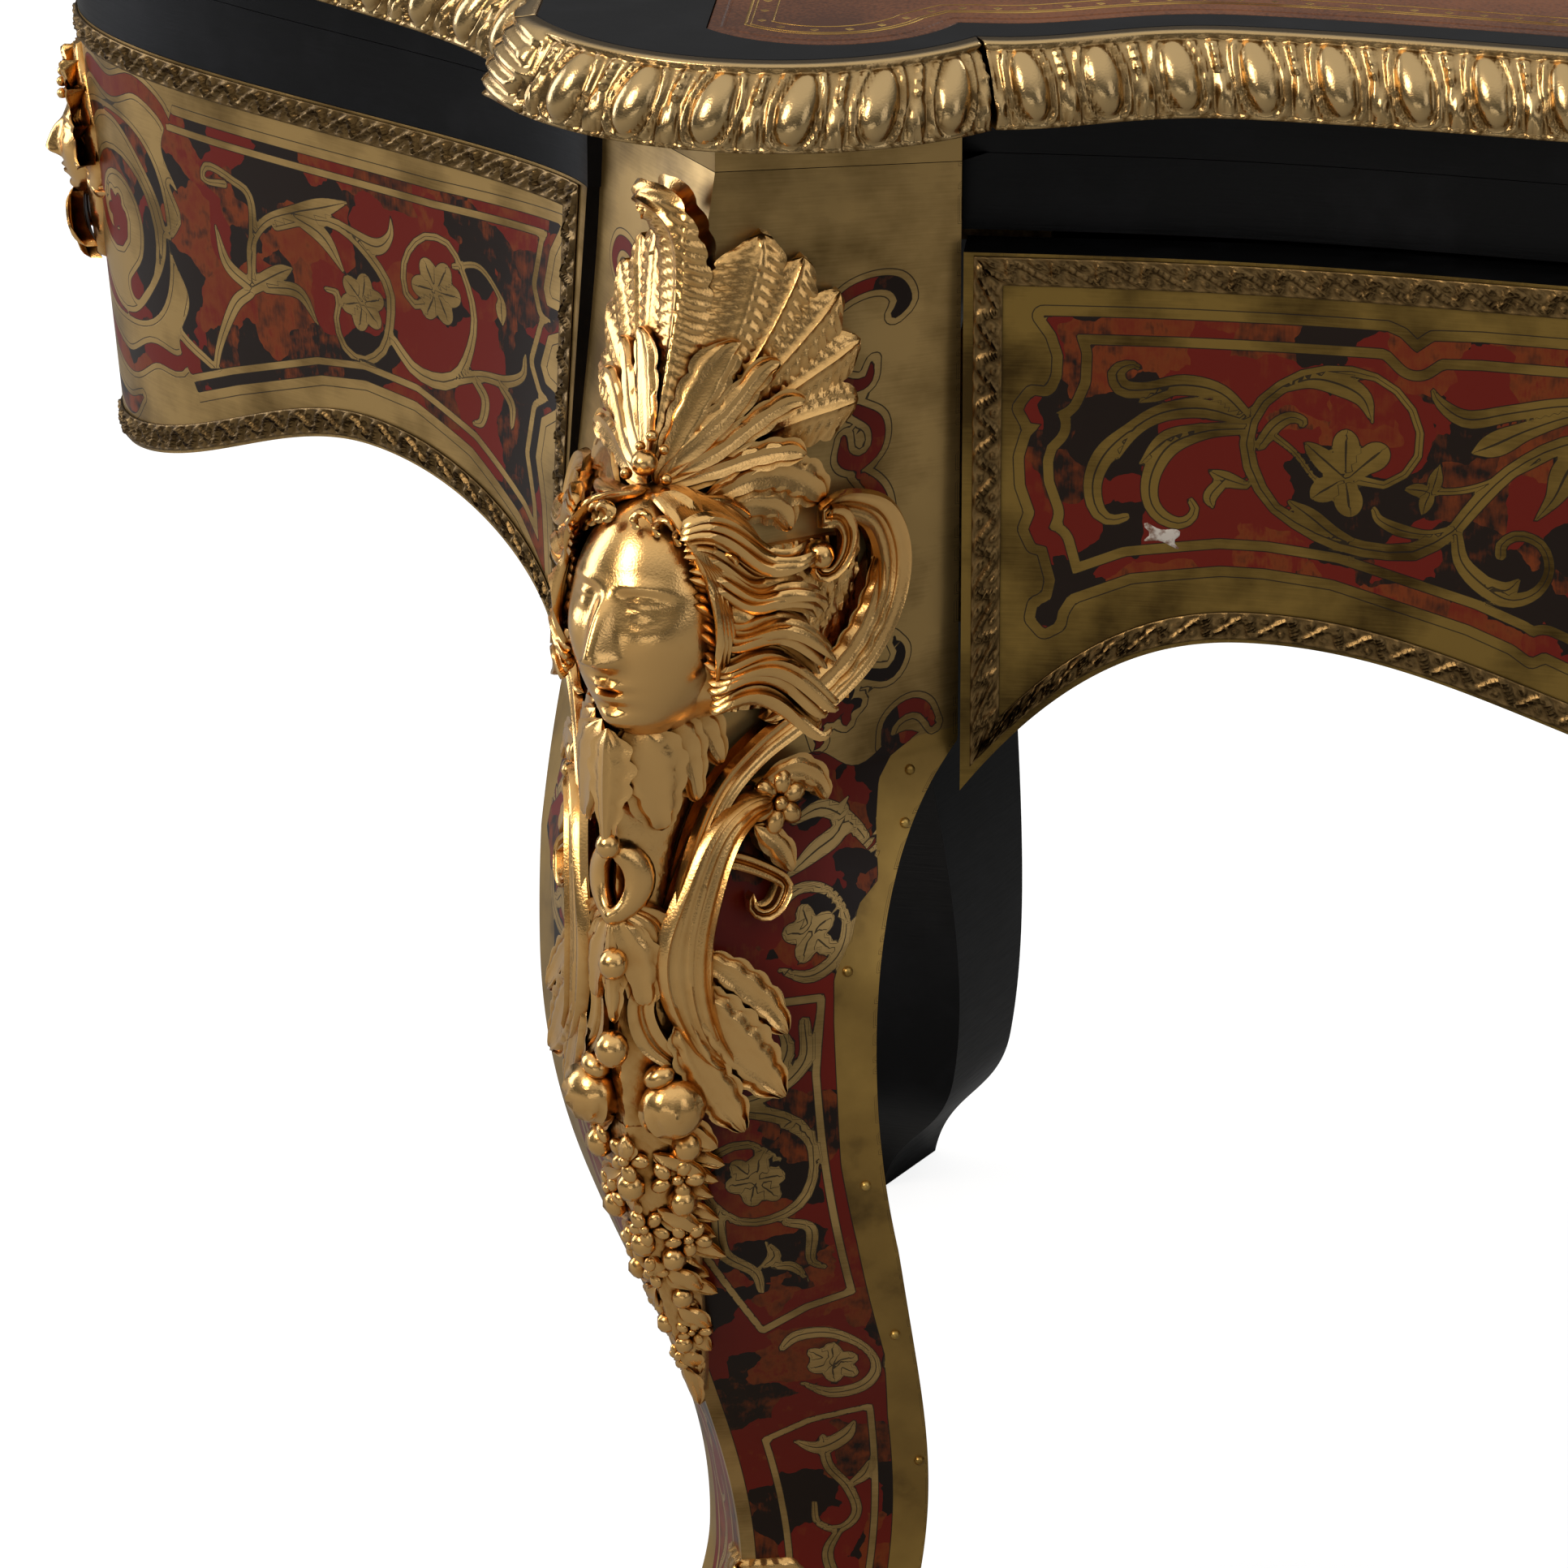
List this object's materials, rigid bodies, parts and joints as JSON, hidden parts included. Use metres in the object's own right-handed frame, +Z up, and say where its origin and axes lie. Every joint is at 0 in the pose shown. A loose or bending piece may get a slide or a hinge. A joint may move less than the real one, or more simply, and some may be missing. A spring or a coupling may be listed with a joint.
{
  "type": "writing table",
  "caption": "Bureau plat on cabriole legs with a lobed leather-lined top, gilt corner mounts, brass and shell marquetry, and a wide locking drawer.",
  "frame": {"origin": "on the floor under the middle of the top", "axes": "+X along the length to the right of someone facing the drawer, +Y from the drawer front to the back, +Z up"},
  "size_m": [1.5762, 0.8688, 0.77],
  "materials": {
    "gilt_bronze": "chased and burnished fire gilding",
    "patinated_gilt_bronze": "darkened gilding, worn on the high points",
    "brass_and_shell_veneer": "engraved brass and red shell veneer on a wood core, black inside",
    "shell_and_brass_marquetry": "polished red shell with brass scrolls on a wood core",
    "ebonised_wood": "black polish",
    "tooled_leather": "brown hide with gilt tooling",
    "oak": "planed and waxed",
    "steel": "filed",
    "lock_brass": "plain"
  },
  "bodies": {
    "table": {"apron_back": "shell_and_brass_marquetry", "apron_left": "shell_and_brass_marquetry", "apron_right": "shell_and_brass_marquetry", "border_back": "patinated_gilt_bronze", "border_left": "patinated_gilt_bronze", "border_right": "patinated_gilt_bronze", "corner_mount_bl": "gilt_bronze", "corner_mount_br": "gilt_bronze", "corner_mount_fl": "gilt_bronze", "corner_mount_fr": "gilt_bronze", "escutcheon_back": "gilt_bronze", "gilt_edge_back": "gilt_bronze", "gilt_edge_corner_bl": "gilt_bronze", "gilt_edge_corner_br": "gilt_bronze", "gilt_edge_corner_fl": "gilt_bronze", "gilt_edge_corner_fr": "gilt_bronze", "gilt_edge_front": "gilt_bronze", "gilt_edge_left": "gilt_bronze", "gilt_edge_right": "gilt_bronze", "guide_left": "oak", "guide_right": "oak", "kicker_left": "oak", "kicker_right": "oak", "leather_writing_surface": "tooled_leather", "leg_bl": "brass_and_shell_veneer", "leg_br": "brass_and_shell_veneer", "leg_fl": "brass_and_shell_veneer", "leg_fr": "brass_and_shell_veneer", "mask_left": "gilt_bronze", "mask_right": "gilt_bronze", "rail_back": "ebonised_wood", "rail_front": "ebonised_wood", "rail_left": "ebonised_wood", "rail_right": "ebonised_wood", "runner_left": "oak", "runner_right": "oak", "sabot_bl": "gilt_bronze", "sabot_br": "gilt_bronze", "sabot_fl": "gilt_bronze", "sabot_fr": "gilt_bronze", "stop_left": "oak", "stop_right": "oak", "top_board": "ebonised_wood", "top_underframe": "ebonised_wood"},
    "drawer": {"border_front": "patinated_gilt_bronze", "drawer_back": "oak", "drawer_bottom": "oak", "drawer_front": "shell_and_brass_marquetry", "drawer_side_left": "oak", "drawer_side_right": "oak", "escutcheon_front": "gilt_bronze", "lock_case": "steel"},
    "lock_bolt": {"lock_bolt": "lock_brass"},
    "key": {"key": "steel"}
  },
  "joints": [
    {"name": "drawer_slide", "type": "slide", "parent": "table", "child": "drawer", "axis": [0, -1, 0], "range_m": [0, 0.3]},
    {"name": "key_turn", "type": "hinge", "parent": "drawer", "child": "key", "pos_m": [0, -0.35653, 0.618], "axis": [0, 1, 0], "range_deg": [0, 90]},
    {"name": "bolt_rise", "type": "slide", "parent": "drawer", "child": "lock_bolt", "axis": [0, 0, 1], "range_m": [0, 0.008]}
  ]
}
